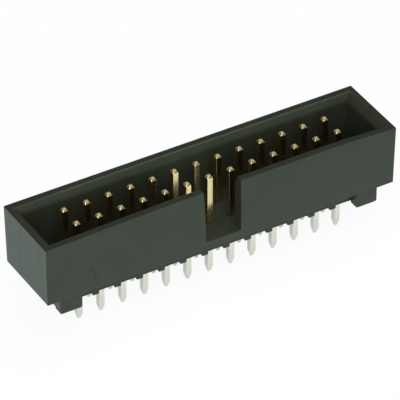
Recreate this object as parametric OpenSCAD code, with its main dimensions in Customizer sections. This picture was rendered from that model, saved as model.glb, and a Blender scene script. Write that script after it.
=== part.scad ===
// Two-row box header for ribbon-cable sockets, standing as it is soldered to a board.
// The origin is the middle of the contact grid on the board's surface.
// X runs along the rows, -Y is the side with the key slot and +Z points out of the mouth.

/* [Contact grid] */
// Contacts in each row
columns = 13; // [4:1:28]
// Distance from one contact to the next, along a row and between the rows
pitch = 2.54; // [2.5:0.01:2.6]

/* [Contacts] */
// Side of the square contact wire
contact_side = 0.64; // [0.5:0.01:0.7]
// Height of the contact tips above the board
contact_top = 8.7; // [7.5:0.05:8.85]
// Length of the solder tail below the board's upper surface
tail_length = 3.4; // [2.5:0.1:4.5]
// Length of the coined taper at the mating tip
mating_taper = 0.2; // [0.1:0.05:1]
// Length of the coined taper at the tail's tip
tail_taper = 0.75; // [0.3:0.05:1.2]
// Side of the small flat left on the mating tip
mating_flat = 0.36; // [0.15:0.01:0.45]
// Side of the small flat left on the tail's tip
tail_flat = 0.26; // [0.15:0.01:0.45]

/* [Shroud] */
// Height of the rim above the board
rim_height = 9; // [8.9:0.05:10]
// Width of the shroud across the rows, at the rim
rim_width = 8.74; // [8.5:0.02:9.5]
// Distance from the last contact's centre to the outside of the shroud, at the rim
end_margin = 5.17; // [4.9:0.01:5.6]
// Height of the shroud's lower edge above the board
skirt_height = 2.1; // [1.6:0.05:2.4]
// Height of the floor inside the shroud above the board
floor_height = 2.94; // [2.7:0.02:3.4]
// Wall thickness at the mouth, measured under the lead-in
wall = 1.3; // [1.1:0.02:1.4]
// Width of the lead-in chamfer round the mouth
lead_in = 0.5; // [0.2:0.05:0.6]
// Depth of the lead-in chamfer below the rim
lead_in_depth = 0.66; // [0.2:0.02:1]
// Draft of the walls, outside and inside, in degrees
draft = 0.95; // [0.3:0.05:1.5]

/* [Key slot] */
// Width of the key slot at the floor
key_width = 4.06; // [3.8:0.02:5]

/* [Base] */
// Width of the base under the shroud
base_width = 5.5; // [5.3:0.05:5.6]
// Height of the base's underside above the board
base_clearance = 0.36; // [0.2:0.02:0.6]
// Width of each spacer rib between two columns
rib_width = 0.72; // [0.4:0.02:1]

/* [Feet] */
// Length of each foot along the rows
foot_length = 2.55; // [1.5:0.05:3]
// Distance from the last contact's centre to the foot's outer side
foot_reach = 3.41; // [3.2:0.01:3.8]
// Depth of each foot across the rows
foot_depth = 1.1; // [0.9:0.05:1.3]
// Distance across the outer faces of two opposite feet
foot_span = 7.56; // [7:0.02:8]
// Radius of the foot's lower corners
foot_radius = 0.25; // [0.1:0.05:0.5]

/* [Contact 1 mark] */
// Width of the triangle at its base
mark_width = 1.7; // [1:0.1:2.2]
// Height of the triangle
mark_height = 3.1; // [1.5:0.1:4]
// Depth of the triangle in the wall
mark_depth = 0.1; // [0.05:0.01:0.3]

/* [Hidden] */
$fn = 48;
// Overlap that lets a cutter run past the face it opens
over = 0.5;
contact_count = 2 * columns;
row_length = (columns - 1) * pitch;
outer_x = row_length / 2 + end_margin;
outer_y = rim_width / 2;
lean = tan(draft);
skirt_lean = (rim_height - skirt_height) * lean;
mouth_x = outer_x - wall;
mouth_y = outer_y - wall;
mouth_height = rim_height - lead_in_depth;
floor_lean = (mouth_height - floor_height) * lean;
base_x = row_length / 2 + foot_reach;

function contact_name(n) = str("contact_", n < 10 ? "0" : "", n);
// Odd contacts stand in the keyed row at -Y, even ones behind them
function contact_x(n) = (ceil(n / 2) - 1) * pitch - row_length / 2;
function contact_y(n) = (n % 2 == 1 ? -1 : 1) * pitch / 2;

// Upright trapezium, half_low wide each way at z_low and half_high at z_high
module trapezium(half_low, half_high, z_low, z_high) {
    polygon([
        [-half_low, z_low],
        [half_low, z_low],
        [half_high, z_high],
        [-half_high, z_high]
    ]);
}

// Upright block whose four sides lean, from [x, y] half sizes at z_low to those at z_high
module leaning_block(half_low, half_high, z_low, z_high) {
    reach_x = 2 * max(half_low.x, half_high.x) + 2;
    reach_y = 2 * max(half_low.y, half_high.y) + 2;
    intersection() {
        rotate([90, 0, 0])
            linear_extrude(reach_y, center = true)
                trapezium(half_low.x, half_high.x, z_low, z_high);
        rotate([90, 0, 90])
            linear_extrude(reach_x, center = true)
                trapezium(half_low.y, half_high.y, z_low, z_high);
    }
}

// Outside of the shroud with its floor plate, drafted to leave the mould upwards
module shroud_block() {
    leaning_block(
        [outer_x - skirt_lean, outer_y - skirt_lean],
        [outer_x, outer_y],
        skirt_height,
        rim_height
    );
}

// Space for the cable socket, narrowing towards the floor
module socket_space() {
    leaning_block(
        [mouth_x - floor_lean, mouth_y - floor_lean],
        [mouth_x, mouth_y],
        floor_height,
        mouth_height
    );
    spread = lead_in * (1 + over / lead_in_depth);
    leaning_block(
        [mouth_x, mouth_y],
        [mouth_x + spread, mouth_y + spread],
        mouth_height,
        rim_height + over
    );
}

// Slot through the keyed wall, open at the rim and level with the floor
module key_slot() {
    slot_lean = (rim_height + over - floor_height) * lean;
    translate([0, -mouth_y, 0])
        rotate([90, 0, 0])
            linear_extrude(2 * wall + 2 * over, center = true)
                trapezium(
                    key_width / 2,
                    key_width / 2 + slot_lean,
                    floor_height,
                    rim_height + over
                );
}

// Block that grips the contacts under the floor
module base() {
    translate([-base_x, -base_width / 2, base_clearance])
        cube([2 * base_x, base_width, floor_height - base_clearance]);
}

// Ribs between the columns, which hold the base off the board for washing
module spacer_ribs() {
    for (column = [1 : columns - 1])
        translate([column * pitch - row_length / 2 - rib_width / 2, -base_width / 2, 0])
            cube([rib_width, base_width, skirt_height]);
}

// End view of a foot with its two lower corners rounded
module foot_outline() {
    translate([0, foot_radius])
        square([foot_length, skirt_height + over - foot_radius]);
    translate([foot_radius, 0])
        square([foot_length - 2 * foot_radius, foot_radius]);
    for (x = [foot_radius, foot_length - foot_radius])
        translate([x, foot_radius])
            circle(foot_radius);
}

// Feet against the four corners of the base
module feet() {
    for (end = [-1, 1], side = [-1, 1])
        translate([end * (base_x - foot_length / 2), side * (foot_span - foot_depth) / 2, 0])
            rotate([90, 0, 0])
                translate([-foot_length / 2, 0])
                    linear_extrude(foot_depth, center = true)
                        foot_outline();
}

// Triangle sunk in the keyed wall at the first contact, running out at the wall's lower edge
module contact_one_mark() {
    spread = mark_width / mark_height * over / 2;
    translate([contact_x(1), skirt_lean - outer_y, skirt_height])
        rotate([90 + draft, 0, 0])
            translate([0, 0, -mark_depth])
                linear_extrude(mark_depth + over)
                    polygon([
                        [-mark_width / 2 - spread, -over],
                        [mark_width / 2 + spread, -over],
                        [0, mark_height]
                    ]);
}

// Square holes in which the contacts are pressed
module contact_holes() {
    for (n = [1 : contact_count])
        translate([contact_x(n), contact_y(n), (floor_height - over) / 2])
            cube([contact_side, contact_side, floor_height + 2 * over], center = true);
}

module housing() {
    color("#30352f")
        difference() {
            union() {
                shroud_block();
                base();
                spacer_ribs();
                feet();
            }
            socket_space();
            key_slot();
            contact_one_mark();
            contact_holes();
        }
}

// Side view of a contact, coined to a blunt point at both ends
module contact_outline() {
    polygon([
        [-tail_flat / 2, -tail_length],
        [tail_flat / 2, -tail_length],
        [contact_side / 2, tail_taper - tail_length],
        [contact_side / 2, contact_top - mating_taper],
        [mating_flat / 2, contact_top],
        [-mating_flat / 2, contact_top],
        [-contact_side / 2, contact_top - mating_taper],
        [-contact_side / 2, tail_taper - tail_length]
    ]);
}

// One straight square contact, from solder tail to mating tip
module contact(n) {
    color("#d8b768")
        translate([contact_x(n), contact_y(n), 0])
            intersection() {
                rotate([90, 0, 0])
                    linear_extrude(2 * contact_side, center = true)
                        contact_outline();
                rotate([90, 0, 90])
                    linear_extrude(2 * contact_side, center = true)
                        contact_outline();
            }
}

housing();
for (n = [1 : contact_count])
    contact(n);
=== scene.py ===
"""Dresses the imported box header: its moulded housing, its plated contacts and a plain studio.

Lengths are in metres in the row frame. X runs along the rows, -Y is the keyed side, Z points out of
the mouth, and Z = 0 is the surface of the board that the header is soldered to.
"""

import logging
import math
from collections.abc import Callable, Iterator
from contextlib import contextmanager
from dataclasses import dataclass, field
from enum import Enum

import bmesh
import bpy
from mathutils import Matrix, Vector


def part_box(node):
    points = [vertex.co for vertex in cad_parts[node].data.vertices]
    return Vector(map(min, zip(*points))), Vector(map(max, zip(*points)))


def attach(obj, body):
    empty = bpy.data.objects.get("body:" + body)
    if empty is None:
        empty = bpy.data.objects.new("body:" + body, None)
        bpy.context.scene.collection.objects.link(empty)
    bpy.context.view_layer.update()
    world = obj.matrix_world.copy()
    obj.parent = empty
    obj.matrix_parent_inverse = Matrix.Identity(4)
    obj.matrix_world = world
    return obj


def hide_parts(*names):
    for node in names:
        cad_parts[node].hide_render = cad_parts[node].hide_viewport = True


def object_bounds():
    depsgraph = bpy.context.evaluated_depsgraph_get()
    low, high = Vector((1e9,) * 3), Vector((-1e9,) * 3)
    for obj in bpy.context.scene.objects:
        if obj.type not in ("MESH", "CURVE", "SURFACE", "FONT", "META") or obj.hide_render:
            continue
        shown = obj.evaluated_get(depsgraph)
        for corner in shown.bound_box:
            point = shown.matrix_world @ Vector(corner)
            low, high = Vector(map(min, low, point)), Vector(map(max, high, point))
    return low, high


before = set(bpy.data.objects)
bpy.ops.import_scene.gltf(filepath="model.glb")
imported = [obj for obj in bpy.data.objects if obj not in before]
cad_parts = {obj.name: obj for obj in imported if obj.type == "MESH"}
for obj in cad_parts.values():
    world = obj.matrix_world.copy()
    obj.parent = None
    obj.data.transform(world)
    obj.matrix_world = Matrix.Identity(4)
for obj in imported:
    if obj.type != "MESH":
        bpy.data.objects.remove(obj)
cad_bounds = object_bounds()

MM = 0.001
# Least share of a unit vector that lies along an axis, for it to count as aligned
ALIGNED = 0.9
# Edges that turn more than this are rounded
SHARP = math.radians(25)
# Faces that meet at less than this are shaded as one surface
SMOOTH = math.radians(38)
log = logging.getLogger("box_header")


class Element(Enum):
    """What edit mode picks, as its three select flags."""

    EDGES = (False, True, False)
    FACES = (False, False, True)


class Joinery(Enum):
    """How one solid meets another."""

    FUSE = "UNION"
    CUT = "DIFFERENCE"


class Slot(Enum):
    """The record's material slots."""

    MOULDING = "moulded_body"
    CONTACT = "contact_metal"


# ---------------------------------------------------------------------------------------------
# Bench tools
# ---------------------------------------------------------------------------------------------


def faces_up(centre: Vector, normal: Vector) -> bool:
    """Tell whether a face looks up."""
    return normal.z > ALIGNED


def faces_down(centre: Vector, normal: Vector) -> bool:
    """Tell whether a face looks down."""
    return normal.z < -ALIGNED


def clear_selection() -> None:
    """Leave no object selected."""
    for other in bpy.context.selected_objects:
        other.select_set(False)


def activate(piece: bpy.types.Object) -> None:
    """Select one piece alone and make it the active one.

    Args:
        piece: The piece that the next operator works on.
    """
    clear_selection()
    piece.select_set(True)
    bpy.context.view_layer.objects.active = piece


@contextmanager
def shaping(
    piece: bpy.types.Object,
    element: Element,
    wanted: Callable[[Vector, Vector], bool] = lambda centre, direction: True,
) -> Iterator[None]:
    """Open a piece in edit mode with some of its faces or edges selected.

    Args:
        piece: The piece to shape.
        element: Whether faces or edges are picked.
        wanted: Test of each one's centre, and of a face's normal or an edge's unit direction.
    """
    activate(piece)
    mesh = piece.data
    for group in (mesh.vertices, mesh.edges, mesh.polygons):
        group.foreach_set("select", [False] * len(group))
    if element is Element.FACES:
        for face in mesh.polygons:
            face.select = wanted(face.center, face.normal)
    else:
        for edge in mesh.edges:
            start, end = (mesh.vertices[i].co for i in edge.vertices)
            edge.select = wanted((start + end) / 2, (end - start).normalized())
    bpy.context.tool_settings.mesh_select_mode = element.value
    bpy.ops.object.mode_set(mode="EDIT")
    try:
        yield
    finally:
        bpy.ops.object.mode_set(mode="OBJECT")


def add_block(name: str, low: Vector, high: Vector) -> bpy.types.Object:
    """Add a rectangular block between two corners.

    Args:
        name: The block's name.
        low: Its lowest corner.
        high: Its highest corner.

    Returns:
        The block, with its place in its mesh.
    """
    clear_selection()
    bpy.ops.mesh.primitive_cube_add(size=1, location=(low + high) / 2, scale=high - low)
    block = bpy.context.active_object
    block.name = name
    bpy.ops.object.transform_apply(location=True, rotation=True, scale=True)
    return block


def extrude(offset: Vector) -> None:
    """Extrude the selected faces as one region, by an offset."""
    bpy.ops.mesh.extrude_region_move(TRANSFORM_OT_translate={"value": offset})


def resize(factors: tuple[float, float, float], centre: Vector) -> None:
    """Scale the selection about a point."""
    bpy.ops.transform.resize(value=factors, center_override=centre)


def section(point: Vector, normal: Vector) -> None:
    """Cut the selected faces along a plane and keep both sides.

    Args:
        point: A point of the plane.
        normal: The plane's normal.
    """
    bpy.ops.mesh.bisect(plane_co=point, plane_no=normal, threshold=1e-7)


def apply_modifier(piece: bpy.types.Object, kind: str, **settings: object) -> None:
    """Add a modifier to a piece and apply it.

    Args:
        piece: The piece to change.
        kind: The modifier's type.
        **settings: The modifier's own settings.
    """
    modifier = piece.modifiers.new(kind.lower(), kind)
    for setting, value in settings.items():
        setattr(modifier, setting, value)
    activate(piece)
    bpy.ops.object.modifier_apply(modifier=modifier.name)


def combine(body: bpy.types.Object, tool: bpy.types.Object, how: Joinery) -> None:
    """Fuse a tool to a body or cut it out, and remove the tool.

    Args:
        body: The solid that stays.
        tool: The solid that is used up.
        how: Fuse or cut.
    """
    apply_modifier(body, "BOOLEAN", operation=how.value, solver="EXACT", object=tool)
    bpy.data.objects.remove(tool, do_unlink=True)


def tidy_faces(piece: bpy.types.Object) -> None:
    """Merge doubled points and dissolve the seams between faces of one plane."""
    with shaping(piece, Element.FACES):
        bpy.ops.mesh.remove_doubles(threshold=0.0005 * MM)
        bpy.ops.mesh.dissolve_limited(angle_limit=math.radians(0.05))


def weigh_edges(piece: bpy.types.Object, weight_of: Callable[[Vector, bool], float]) -> None:
    """Give each sharp edge its share of the rounding that follows.

    Args:
        piece: The piece whose edges are rounded.
        weight_of: The share, from an edge's middle and whether it is convex.
    """
    work = bmesh.new()
    work.from_mesh(piece.data)
    layer = work.edges.layers.float.new("bevel_weight_edge")
    for edge in work.edges:
        if len(edge.link_faces) == 2 and edge.calc_face_angle(0) > SHARP:
            middle = (edge.verts[0].co + edge.verts[1].co) / 2
            edge[layer] = weight_of(middle, edge.is_convex)
    work.to_mesh(piece.data)
    work.free()


def round_edges(piece: bpy.types.Object, radius: float, segments: int) -> None:
    """Round the weighed edges, and shade the piece with its broad faces kept flat.

    Args:
        piece: The piece to finish.
        radius: Width of the rounding at a weight of one.
        segments: Facets across each rounding.
    """
    apply_modifier(
        piece,
        "BEVEL",
        width=radius,
        segments=segments,
        limit_method="WEIGHT",
        use_clamp_overlap=False,
    )
    activate(piece)
    bpy.ops.object.shade_smooth_by_angle(angle=SMOOTH)
    apply_modifier(piece, "WEIGHTED_NORMAL", keep_sharp=True, weight=100)


def deliver(piece: bpy.types.Object, slot: Slot, *nodes: str) -> None:
    """Hand a finished piece to the frame in place of CAD nodes, and report it.

    Args:
        piece: The finished piece, with its place in its mesh.
        slot: Not used.
        *nodes: The CAD nodes that it stands for.
    """
    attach(piece, "root")
    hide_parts(*nodes)
    log.info("%s stands for %s, %d faces", piece.name, ", ".join(nodes), len(piece.data.polygons))


# ---------------------------------------------------------------------------------------------
# Finishes
# ---------------------------------------------------------------------------------------------


class ShaderBench:
    """A material under construction, with short calls for its nodes."""

    def __init__(self, name: str) -> None:
        """Start a material with an empty node tree.

        Args:
            name: The material's name.
        """
        self.material = bpy.data.materials.new(name)
        self.material.use_nodes = True
        self.tree = self.material.node_tree
        self.tree.nodes.clear()
        self.output = self.node("ShaderNodeOutputMaterial")

    def node(self, kind: str, **inputs: object) -> bpy.types.Node:
        """Add a node and set some of its inputs by their names, with _ for a space."""
        made = self.tree.nodes.new(kind)
        for name, value in inputs.items():
            made.inputs[name.replace("_", " ")].default_value = value
        return made

    def link(self, source: bpy.types.NodeSocket, target: bpy.types.NodeSocket) -> None:
        """Wire one socket to another."""
        self.tree.links.new(source, target)

    def noise(self, stretch: Vector, detail: float) -> bpy.types.NodeSocket:
        """Add a noise on Object coordinates.

        Args:
            stretch: Noise cells per metre along each axis.
            detail: Octaves of finer noise.

        Returns:
            The noise's factor socket.
        """
        place = self.node("ShaderNodeTexCoord")
        mapping = self.node("ShaderNodeMapping", Scale=stretch)
        noise = self.node("ShaderNodeTexNoise", Scale=1.0, Detail=detail, Roughness=0.55)
        self.link(place.outputs["Object"], mapping.inputs["Vector"])
        self.link(mapping.outputs["Vector"], noise.inputs["Vector"])
        return noise.outputs["Fac"]

    def spread(
        self, source: bpy.types.NodeSocket, low: float, high: float
    ) -> bpy.types.NodeSocket:
        """Map the middle of a noise onto a range of values."""
        ranged = self.node(
            "ShaderNodeMapRange", From_Min=0.3, From_Max=0.7, To_Min=low, To_Max=high
        )
        self.link(source, ranged.inputs["Value"])
        return ranged.outputs["Result"]

    def blend(
        self,
        factor: bpy.types.NodeSocket,
        first: tuple[float, float, float],
        second: tuple[float, float, float],
    ) -> bpy.types.NodeSocket:
        """Mix two colours by a factor."""
        mix = self.tree.nodes.new("ShaderNodeMix")
        mix.data_type = "RGBA"
        mix.inputs["A"].default_value = (*first, 1)
        mix.inputs["B"].default_value = (*second, 1)
        self.link(factor, mix.inputs["Factor"])
        return next(s for s in mix.outputs if s.type == "RGBA")

    def bump(
        self, height: bpy.types.NodeSocket, distance: float, strength: float
    ) -> bpy.types.NodeSocket:
        """Turn a height into a bumped normal."""
        bump = self.node("ShaderNodeBump", Strength=strength, Distance=distance)
        self.link(height, bump.inputs["Height"])
        return bump.outputs["Normal"]


@dataclass(frozen=True)
class MouldedPlastic:
    """Black glass-filled nylon with a satin skin."""

    name: str = "satin_black_moulding"
    dark: tuple[float, float, float] = (0.019, 0.0205, 0.0130)
    pale: tuple[float, float, float] = (0.030, 0.0315, 0.0215)
    gloss_tint: tuple[float, float, float] = (0.80, 1.0, 0.98)
    roughness: tuple[float, float] = (0.31, 0.39)
    cloud_size: float = 3.5 * MM
    streak_width: float = 1.1 * MM
    streak_length: float = 14 * MM
    grain_size: float = 0.09 * MM
    grain_depth: float = 0.004 * MM

    def build(self) -> bpy.types.Material:
        """Make the material.

        Returns:
            The finished material.
        """
        bench = ShaderBench(self.name)
        shader = bench.node("ShaderNodeBsdfPrincipled", IOR=1.4)
        shader.inputs["Specular Tint"].default_value = (*self.gloss_tint, 1)
        clouds = bench.noise(Vector.Fill(3, 1 / self.cloud_size), 3)
        streaks = bench.noise(
            Vector((1 / self.streak_width, 1 / self.streak_width, 1 / self.streak_length)), 2
        )
        grain = bench.noise(Vector.Fill(3, 1 / self.grain_size), 2)
        bench.link(bench.blend(clouds, self.dark, self.pale), shader.inputs["Base Color"])
        bench.link(bench.spread(streaks, *self.roughness), shader.inputs["Roughness"])
        bench.link(bench.bump(grain, self.grain_depth, 1.0), shader.inputs["Normal"])
        bench.link(shader.outputs["BSDF"], bench.output.inputs["Surface"])
        return bench.material


@dataclass(frozen=True)
class Plating:
    """A drawn and plated wire finish."""

    name: str
    worn: tuple[float, float, float]
    fresh: tuple[float, float, float]
    roughness: tuple[float, float]
    line_width: float = 0.05 * MM
    line_length: float = 1.6 * MM
    line_depth: float = 0.0015 * MM
    grain_size: float = 0.04 * MM
    patch_size: float = 0.7 * MM

    def build(self) -> bpy.types.Material:
        """Make the material.

        Returns:
            The finished material.
        """
        bench = ShaderBench(self.name)
        shader = bench.node("ShaderNodeBsdfPrincipled", Metallic=1.0)
        drawn = Vector((1 / self.line_width, 1 / self.line_width, 1 / self.line_length))
        lines = bench.noise(drawn, 2)
        patches = bench.noise(Vector.Fill(3, 1 / self.patch_size), 2)
        bench.link(bench.blend(patches, self.worn, self.fresh), shader.inputs["Base Color"])
        grain = bench.noise(Vector.Fill(3, 1 / self.grain_size), 1)
        bench.link(bench.spread(grain, *self.roughness), shader.inputs["Roughness"])
        bench.link(bench.bump(lines, self.line_depth, 1.0), shader.inputs["Normal"])
        bench.link(shader.outputs["BSDF"], bench.output.inputs["Surface"])
        return bench.material


GOLD = Plating(
    name="gold_flash",
    worn=(0.82, 0.62, 0.33),
    fresh=(0.88, 0.69, 0.40),
    roughness=(0.08, 0.31),
)
CUT_GOLD = Plating(
    name="gold_on_cut_end",
    worn=(0.64, 0.58, 0.31),
    fresh=(0.70, 0.64, 0.37),
    roughness=(0.60, 0.72),
)
TIN = Plating(
    name="matte_tin",
    worn=(0.80, 0.72, 0.67),
    fresh=(0.85, 0.77, 0.72),
    roughness=(0.3, 0.42),
)


# ---------------------------------------------------------------------------------------------
# Housing
# ---------------------------------------------------------------------------------------------


@dataclass
class Housing:
    """The one-piece moulding: shroud, floor, base, ribs, feet and first-contact mark."""

    contacts: list[tuple[Vector, Vector]]
    finish: MouldedPlastic = field(default_factory=MouldedPlastic)
    skirt_height: float = 2.1 * MM
    floor_height: float = 2.94 * MM
    wall: float = 1.3 * MM
    end_wall: float = 1.35 * MM
    end_rim: float = 0.65 * MM
    lead_in: float = 0.5 * MM
    lead_in_depth: float = 0.66 * MM
    draft: float = math.radians(0.95)
    key_width: float = 4.06 * MM
    base_width: float = 5.5 * MM
    base_clearance: float = 0.36 * MM
    base_margin: float = 1.76 * MM
    rib_width: float = 0.72 * MM
    foot_length: float = 2.55 * MM
    foot_span: float = 7.56 * MM
    foot_radius: float = 0.25 * MM
    mark_width: float = 1.7 * MM
    mark_height: float = 3.1 * MM
    mark_depth: float = 0.1 * MM
    hole_play: float = 0.02 * MM
    hole_flare: float = 0.05 * MM
    hole_reach: float = 0.6 * MM
    wall_leans: tuple[float, float] = (0.42 * MM, 0.32 * MM)
    lean_runs: tuple[float, float] = (19.1 * MM, 6.5 * MM)
    lean_stations: int = 32
    lean_courses: int = 5
    outer_radius: float = 0.055 * MM
    rim_radius: float = 0.16 * MM
    mouth_radius: float = 0.25 * MM
    mark_radius: float = 0.02 * MM
    overlap: float = 0.4 * MM
    margin: float = 0.05 * MM

    def __post_init__(self) -> None:
        """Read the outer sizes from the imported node."""
        low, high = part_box("housing")
        self.board = low.z
        self.rim = high.z
        self.outer = Vector((high.x, high.y, 0))
        self.base_x = self.outer.x - self.base_margin
        self.mouth_height = self.rim - self.lead_in_depth
        self.skirt_lean = (self.rim - self.skirt_height) * math.tan(self.draft)
        self.centres = [(low + high) / 2 for low, high in self.contacts]
        self.columns = sorted({round(centre.x, 6) for centre in self.centres})
        self.rows = sorted({round(centre.y, 6) for centre in self.centres})

    def shroud(self) -> bpy.types.Object:
        """Shape the four drafted walls and the floor inside them.

        Returns:
            The shroud with its socket space.
        """
        outer = self.outer
        body = add_block(
            "moulded_housing",
            Vector((-outer.x, -outer.y, self.skirt_height)),
            Vector((outer.x, outer.y, self.rim)),
        )
        with shaping(body, Element.FACES, faces_down):
            narrowed = (1 - self.skirt_lean / outer.x, 1 - self.skirt_lean / outer.y, 1)
            resize(narrowed, Vector((0, 0, self.skirt_height)))
        floor_lean = (self.mouth_height - self.floor_height) * math.tan(self.draft)
        mouth = (outer.x - self.end_wall, outer.y - self.wall)
        flat = self.wall - self.lead_in
        with shaping(body, Element.FACES, faces_up):
            bpy.ops.mesh.inset(thickness=flat)
            stretch = (outer.x - self.end_rim) / (outer.x - flat)
            resize((stretch, 1, 1), Vector((0, 0, self.rim)))
            bpy.ops.mesh.inset(thickness=self.lead_in, depth=-self.lead_in_depth)
            stretch = mouth[0] / (outer.x - self.end_rim - self.lead_in)
            resize((stretch, 1, 1), Vector((0, 0, self.mouth_height)))
            extrude(Vector((0, 0, self.floor_height - self.mouth_height)))
            narrowed = (1 - floor_lean / mouth[0], 1 - floor_lean / mouth[1], 1)
            resize(narrowed, Vector((0, 0, self.floor_height)))
        return body

    def key_cutter(self) -> bpy.types.Object:
        """Shape the tool for the key slot, which widens upwards with the draft."""
        top = self.rim + self.overlap
        half = self.key_width / 2
        cutter = add_block(
            "key_cutter",
            Vector((-half, -self.outer.y - self.overlap, self.floor_height)),
            Vector((half, self.wall + self.overlap - self.outer.y, top)),
        )
        widened = half + (top - self.floor_height) * math.tan(self.draft)
        with shaping(cutter, Element.FACES, faces_up):
            resize((widened / half, 1, 1), Vector((0, 0, top)))
        return cutter

    def base(self) -> bpy.types.Object:
        """Shape the block under the floor and draw its spacer ribs down to the board."""
        half_y = self.base_width / 2
        block = add_block(
            "base",
            Vector((-self.base_x, -half_y, self.base_clearance)),
            Vector((self.base_x, half_y, self.skirt_height + self.overlap)),
        )
        ribs = [(a + b) / 2 for a, b in zip(self.columns, self.columns[1:])]
        for rib in ribs:
            for side in (-1, 1):
                edge = Vector((rib + side * self.rib_width / 2, 0, 0))
                with shaping(block, Element.FACES):
                    section(edge, Vector((1, 0, 0)))

        def under_rib(centre: Vector, normal: Vector) -> bool:
            near = min(abs(centre.x - rib) for rib in ribs)
            return faces_down(centre, normal) and near < self.rib_width / 4

        with shaping(block, Element.FACES, under_rib):
            extrude(Vector((0, 0, self.board - self.base_clearance)))
        return block

    def foot(self, end: int, side: int) -> bpy.types.Object:
        """Shape one corner foot with its lower corners rounded.

        Args:
            end: -1 or 1 along X.
            side: -1 or 1 along Y.

        Returns:
            The foot in its place.
        """
        xs = sorted((end * self.base_x, end * (self.base_x - self.foot_length)))
        ys = sorted((side * self.base_width / 2, side * self.foot_span / 2))
        block = add_block(
            "foot",
            Vector((xs[0], ys[0], self.board)),
            Vector((xs[1], ys[1], self.skirt_height + self.overlap)),
        )

        def lower_corner(centre: Vector, direction: Vector) -> bool:
            return centre.z < self.board + self.overlap / 2 and abs(direction.y) > ALIGNED

        with shaping(block, Element.EDGES, lower_corner):
            bpy.ops.mesh.bevel(offset=self.foot_radius, segments=6, affect="EDGES")
        return block

    def mark(self) -> bpy.types.Object:
        """Shape the tool for the triangle sunk at the first contact, apex up.

        Returns:
            The tool, leaning with the wall and running out below it.
        """
        clear_selection()
        radius = 1 * MM
        bpy.ops.mesh.primitive_cylinder_add(vertices=3, radius=radius, depth=self.wall)
        triangle = bpy.context.active_object
        triangle.name = "mark_cutter"
        grown = 1 + self.overlap / self.mark_height
        triangle.scale = (
            grown * self.mark_width / (math.sqrt(3) * radius),
            grown * self.mark_height / (1.5 * radius),
            1,
        )
        bpy.ops.object.transform_apply(location=True, rotation=True, scale=True)
        apex = max(vertex.co.y for vertex in triangle.data.vertices)
        triangle.data.transform(
            Matrix.Translation((0, self.mark_height - apex, self.wall / 2 - self.mark_depth))
        )
        triangle.rotation_euler = (math.pi / 2 + self.draft, 0, 0)
        triangle.location = (self.columns[0], self.skirt_lean - self.outer.y, self.skirt_height)
        bpy.ops.object.transform_apply(location=True, rotation=True, scale=True)
        return triangle

    def hole_cutter(self) -> bpy.types.Object:
        """Shape the tool for the press holes, flared where they meet the floor.

        Returns:
            One tool with a cutter for each contact.
        """
        low, high = self.contacts[0]
        play = Vector((self.hole_play, self.hole_play, 0))
        cutter = add_block(
            "hole_cutter",
            Vector((low.x, low.y, self.board - self.overlap)) - play,
            Vector((high.x, high.y, self.floor_height - self.hole_flare)) + play,
        )
        half = (high.x - low.x) / 2 + self.hole_play
        rise = self.hole_flare + self.overlap
        widened = (half + rise) / half
        with shaping(cutter, Element.FACES, faces_up):
            extrude(Vector((0, 0, rise)))
            resize((widened, widened, 1), (low + high) / 2)
        pitch = self.columns[1] - self.columns[0]
        for count, step in (
            (len(self.columns), Vector((pitch, 0, 0))),
            (len(self.rows), Vector((0, self.rows[-1] - self.rows[0], 0))),
        ):
            apply_modifier(
                cutter,
                "ARRAY",
                count=count,
                use_relative_offset=False,
                use_constant_offset=True,
                constant_offset_displace=step,
            )
        return cutter

    def join_floors(self, body: bpy.types.Object) -> None:
        """Make one face of the socket's floor and the slot's, by splitting both at the cheeks."""
        for side in (-1, 1):
            with shaping(body, Element.FACES):
                section(Vector((side * self.key_width / 2, 0, 0)), Vector((1, 0, 0)))
        tidy_faces(body)

    def lean_share(self, place: Vector) -> float:
        """Tell how far the keyed wall has sunk inwards at a point of it.

        Args:
            place: A point of the housing.

        Returns:
            A share from 0, at the ends and the floor, to 1, at the rim where it leans most.
        """
        if place.y > self.wall + self.lead_in - self.outer.y or place.z < self.floor_height:
            return 0.0
        half = int(place.x > 0)
        along = (self.outer.x - self.end_wall - abs(place.x)) / self.lean_runs[half]
        along = min(1.0, max(0.0, along))
        up = (place.z - self.floor_height) / (self.rim - self.floor_height)
        depth = self.wall_leans[half] / max(self.wall_leans)
        return depth * math.sin(along * math.pi / 2) * up**1.5

    def sink_keyed_wall(self, body: bpy.types.Object) -> None:
        """Let the keyed wall lean inwards towards the slot, as the moulding cooled."""

        def in_keyed_wall(centre: Vector, normal: Vector) -> bool:
            return centre.y < self.wall + self.lead_in - self.outer.y and centre.z > self.skirt_height

        reach = self.outer.x - self.end_wall
        for station in range(1, self.lean_stations):
            cut = Vector(((2 * station / self.lean_stations - 1) * reach, 0, 0))
            with shaping(body, Element.FACES, in_keyed_wall):
                section(cut, Vector((1, 0, 0)))
        for course in range(self.lean_courses):
            rise = (self.mouth_height - self.floor_height) * course / self.lean_courses
            cut = Vector((0, 0, self.floor_height + rise))
            with shaping(body, Element.FACES, in_keyed_wall):
                section(cut, Vector((0, 0, 1)))
        group = body.vertex_groups.new(name="keyed_wall")
        for vertex in body.data.vertices:
            share = self.lean_share(vertex.co)
            if share > 0:
                group.add([vertex.index], share, "REPLACE")
        apply_modifier(
            body,
            "DISPLACE",
            direction="Y",
            strength=max(self.wall_leans),
            mid_level=0.0,
            vertex_group=group.name,
        )
        body.vertex_groups.clear()

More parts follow.
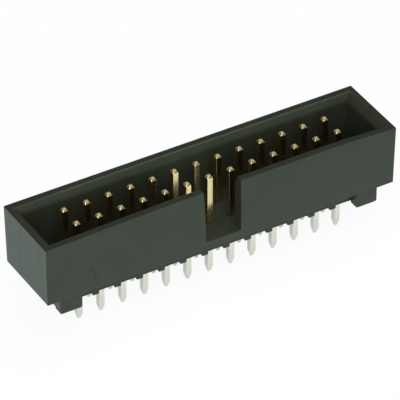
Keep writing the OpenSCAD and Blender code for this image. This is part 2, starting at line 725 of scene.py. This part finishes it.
    def edge_radius(self, middle: Vector, convex: bool) -> float:
        """Tell how widely an edge is rounded.

        Args:
            middle: The edge's middle.
            convex: Whether material lies inside the edge.

        Returns:
            The rounding's width on each side of the edge.
        """
        across_mark = abs(middle.x - self.columns[0]) < self.mark_width / 2 + self.margin
        mark_top = self.skirt_height + self.mark_height + self.margin
        if across_mark and middle.y < -self.foot_span / 2 and middle.z < mark_top:
            return self.mark_radius
        in_hole = any(
            max(abs(middle.x - centre.x), abs(middle.y - centre.y)) < self.hole_reach
            for centre in self.centres
        )
        if in_hole or not convex:
            return 0.0
        inset = min(self.outer.x - abs(middle.x), self.outer.y - abs(middle.y))
        if inset > self.lead_in and middle.z > self.rim - self.margin:
            return self.rim_radius
        if inset > self.lead_in and middle.z > self.mouth_height - self.margin:
            return self.mouth_radius
        return self.outer_radius

    def build(self) -> None:
        """Model, finish and deliver the housing."""
        body = self.shroud()
        combine(body, self.base(), Joinery.FUSE)
        for end in (-1, 1):
            for side in (-1, 1):
                combine(body, self.foot(end, side), Joinery.FUSE)
        combine(body, self.key_cutter(), Joinery.CUT)
        self.join_floors(body)
        combine(body, self.mark(), Joinery.CUT)
        combine(body, self.hole_cutter(), Joinery.CUT)
        tidy_faces(body)
        self.sink_keyed_wall(body)
        weigh_edges(body, lambda middle, convex: self.edge_radius(middle, convex) / self.mouth_radius)
        round_edges(body, self.mouth_radius, segments=4)
        body.data.materials.clear()
        body.data.materials.append(self.finish.build())
        deliver(body, Slot.MOULDING, "housing")


# ---------------------------------------------------------------------------------------------
# Contacts
# ---------------------------------------------------------------------------------------------


@dataclass
class ContactSet:
    """The straight square wires, gold above the line of the plating and tin below it."""

    names: list[str]
    gold: Plating = GOLD
    cut_gold: Plating = CUT_GOLD
    tin: Plating = TIN
    mating_taper: float = 0.2 * MM
    mating_flat: float = 0.36 * MM
    tail_taper: float = 0.75 * MM
    tail_flat: float = 0.26 * MM
    plating_line: float = 1.6 * MM
    edge_radius: float = 0.035 * MM
    tip_share: float = 0.45

    def pattern(self) -> bpy.types.Object:
        """Model one contact on the Z axis.

        Returns:
            The contact that the others are copied from.
        """
        low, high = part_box(self.names[0])
        side = high.x - low.x
        half = side / 2
        wire = add_block(
            "contact_pattern",
            Vector((-half, -half, low.z + self.tail_taper)),
            Vector((half, half, high.z - self.mating_taper)),
        )
        for end, rise, flat in (
            (faces_up, self.mating_taper, self.mating_flat),
            (faces_down, -self.tail_taper, self.tail_flat),
        ):
            with shaping(wire, Element.FACES, end):
                extrude(Vector((0, 0, rise)))
                resize((flat / side, flat / side, 1), Vector((0, 0, 0)))
        with shaping(wire, Element.FACES):
            section(Vector((0, 0, self.plating_line)), Vector((0, 0, 1)))
        finishes = (self.gold, self.tin, self.cut_gold)
        for finish in finishes:
            wire.data.materials.append(finish.build())
        for face in wire.data.polygons:
            above = self.cut_gold if faces_up(face.center, face.normal) else self.gold
            finish = self.tin if face.center.z < self.plating_line else above
            face.material_index = finishes.index(finish)
        coined = high.z - self.mating_taper - self.edge_radius
        weigh_edges(wire, lambda middle, convex: self.tip_share if middle.z > coined else 1.0)
        round_edges(wire, self.edge_radius, segments=2)
        return wire

    def build(self) -> None:
        """Copy the pattern to every contact's place and deliver the copies."""
        pattern = self.pattern()
        for name in self.names:
            low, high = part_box(name)
            wire = pattern.copy()
            wire.data = pattern.data.copy()
            wire.name = wire.data.name = name.replace("contact", "plated_contact")
            bpy.context.scene.collection.objects.link(wire)
            middle = (low + high) / 2
            wire.data.transform(Matrix.Translation((middle.x, middle.y, 0)))
            deliver(wire, Slot.CONTACT, name)
        bpy.data.objects.remove(pattern, do_unlink=True)


# ---------------------------------------------------------------------------------------------
# Studio
# ---------------------------------------------------------------------------------------------


@dataclass(frozen=True)
class Softbox:
    """One large soft lamp that faces the header."""

    name: str
    place: Vector
    width: float
    height: float
    power: float
    colour: tuple[float, float, float] = (0.93, 1.0, 0.96)

    def build(self, target: Vector) -> None:
        """Hang the lamp and turn it to a point.

        Args:
            target: The point that it faces.
        """
        data = bpy.data.lights.new(self.name, "AREA")
        data.shape = "RECTANGLE"
        data.size, data.size_y = self.width, self.height
        data.energy = self.power
        data.color = self.colour
        lamp = bpy.data.objects.new(self.name, data)
        lamp.location = self.place
        lamp.rotation_euler = (target - self.place).to_track_quat("-Z", "Y").to_euler()
        bpy.context.scene.collection.objects.link(lamp)


@dataclass
class Studio:
    """A white floor, soft lamps and the camera."""

    floor_size: float = 4.0
    floor_colour: tuple[float, float, float] = (0.86, 0.86, 0.86)
    floor_glow: float = 0.93
    mirrored_glow: float = 0.5
    mirror_tint: tuple[float, float, float] = (0.94, 1.14, 1.08)
    horizon: float = 0.35
    ceiling_front: float = 0.24
    ceiling_back: float = 0.05
    azimuth: float = math.radians(-30.376)
    elevation: float = math.radians(36.808)
    roll: float = math.radians(-0.14)
    distance: float = 431.24 * MM
    focal_length: float = 382.9
    sensor_width: float = 36.0
    clip_range: tuple[float, float] = (0.01, 20.0)
    target: Vector = field(default_factory=lambda: Vector((-0.276, 0.0, 4.88)) * MM)
    lamps: tuple[Softbox, ...] = (
        Softbox("top_softbox", Vector((0.1, -0.2, 1.2)), 1.6, 1.1, 11.0),
        Softbox("front_softbox", Vector((-0.6, -0.95, 0.75)), 1.6, 1.3, 19.0),
    )

    def floor(self) -> None:
        """Lay the floor under the solder tails, white to the eye and with a soft shadow."""
        clear_selection()
        bpy.ops.mesh.primitive_plane_add(size=self.floor_size, location=(0, 0, cad_bounds[0].z))
        floor = bpy.context.active_object
        floor.name = "studio_floor"
        bench = ShaderBench("white_floor")
        paper = bench.node("ShaderNodeBsdfDiffuse", Color=(*self.floor_colour, 1))
        glow = bench.node("ShaderNodeEmission", Strength=1.0)
        rays = bench.node("ShaderNodeLightPath")
        tint = bench.blend(rays.outputs["Is Glossy Ray"], (1.0, 1.0, 1.0), self.mirror_tint)
        bench.link(tint, glow.inputs["Color"])
        share = None
        for ray, glow_share in (
            ("Is Camera Ray", self.floor_glow),
            ("Is Transmission Ray", self.floor_glow),
            ("Is Glossy Ray", self.mirrored_glow),
        ):
            part = bench.node("ShaderNodeMath")
            part.operation = "MULTIPLY_ADD"
            part.inputs[1].default_value = glow_share
            part.inputs[2].default_value = 0.0
            bench.link(rays.outputs[ray], part.inputs[0])
            if share:
                bench.link(share, part.inputs[2])
            share = part.outputs["Value"]
        mix = bench.node("ShaderNodeMixShader")
        bench.link(share, mix.inputs["Fac"])
        bench.link(paper.outputs["BSDF"], mix.inputs[1])
        bench.link(glow.outputs["Emission"], mix.inputs[2])
        bench.link(mix.outputs["Shader"], bench.output.inputs["Surface"])
        floor.data.materials.append(bench.material)

    def air(self) -> None:
        """Fill the room with a little light, palest at the horizon and darkest high behind."""
        world = bpy.data.worlds.new("room")
        world.use_nodes = True
        tree = world.node_tree
        direction = tree.nodes.new("ShaderNodeTexCoord")
        split = tree.nodes.new("ShaderNodeSeparateXYZ")
        depth = tree.nodes.new("ShaderNodeMapRange")
        rise = tree.nodes.new("ShaderNodeMapRange")
        for ramp, ends in (
            (depth, (-0.5, 0.5, self.ceiling_front, self.ceiling_back)),
            (rise, (0.1, 0.4, self.horizon, self.ceiling_front)),
        ):
            for name, value in zip(("From Min", "From Max", "To Min", "To Max"), ends):
                ramp.inputs[name].default_value = value
        tree.links.new(direction.outputs["Generated"], split.inputs["Vector"])
        tree.links.new(split.outputs["Y"], depth.inputs["Value"])
        tree.links.new(split.outputs["Z"], rise.inputs["Value"])
        tree.links.new(depth.outputs["Result"], rise.inputs["To Max"])
        tree.links.new(rise.outputs["Result"], tree.nodes["Background"].inputs["Strength"])
        tree.nodes["Background"].inputs["Color"].default_value = (1.0, 1.0, 1.0, 1.0)
        bpy.context.scene.world = world

    def camera(self) -> None:
        """Stand the camera at its angle and make it the scene's own."""
        back = Vector(
            (
                math.sin(self.azimuth) * math.cos(self.elevation),
                -math.cos(self.azimuth) * math.cos(self.elevation),
                math.sin(self.elevation),
            )
        )
        data = bpy.data.cameras.new("camera")
        data.sensor_width = self.sensor_width
        data.lens = self.focal_length
        data.clip_start, data.clip_end = self.clip_range
        camera = bpy.data.objects.new("camera", data)
        camera.location = self.target + back * self.distance
        aim = (-back).to_track_quat("-Z", "Y").to_matrix()
        camera.rotation_euler = (aim @ Matrix.Rotation(self.roll, 3, "Z")).to_euler()
        bpy.context.scene.collection.objects.link(camera)
        bpy.context.scene.camera = camera

    def build(self) -> None:
        """Set up the whole studio."""
        self.camera()
        self.floor()
        self.air()
        for lamp in self.lamps:
            lamp.build(self.target)
        bpy.context.scene.view_settings.view_transform = "Standard"


def main() -> None:
    """Build the header and its studio in order."""
    logging.basicConfig(level=logging.INFO, format="%(name)s: %(message)s")
    names = sorted(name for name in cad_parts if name.startswith("contact_"))
    Studio().build()
    Housing([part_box(name) for name in names]).build()
    ContactSet(names).build()


if __name__ == "__main__":
    main()
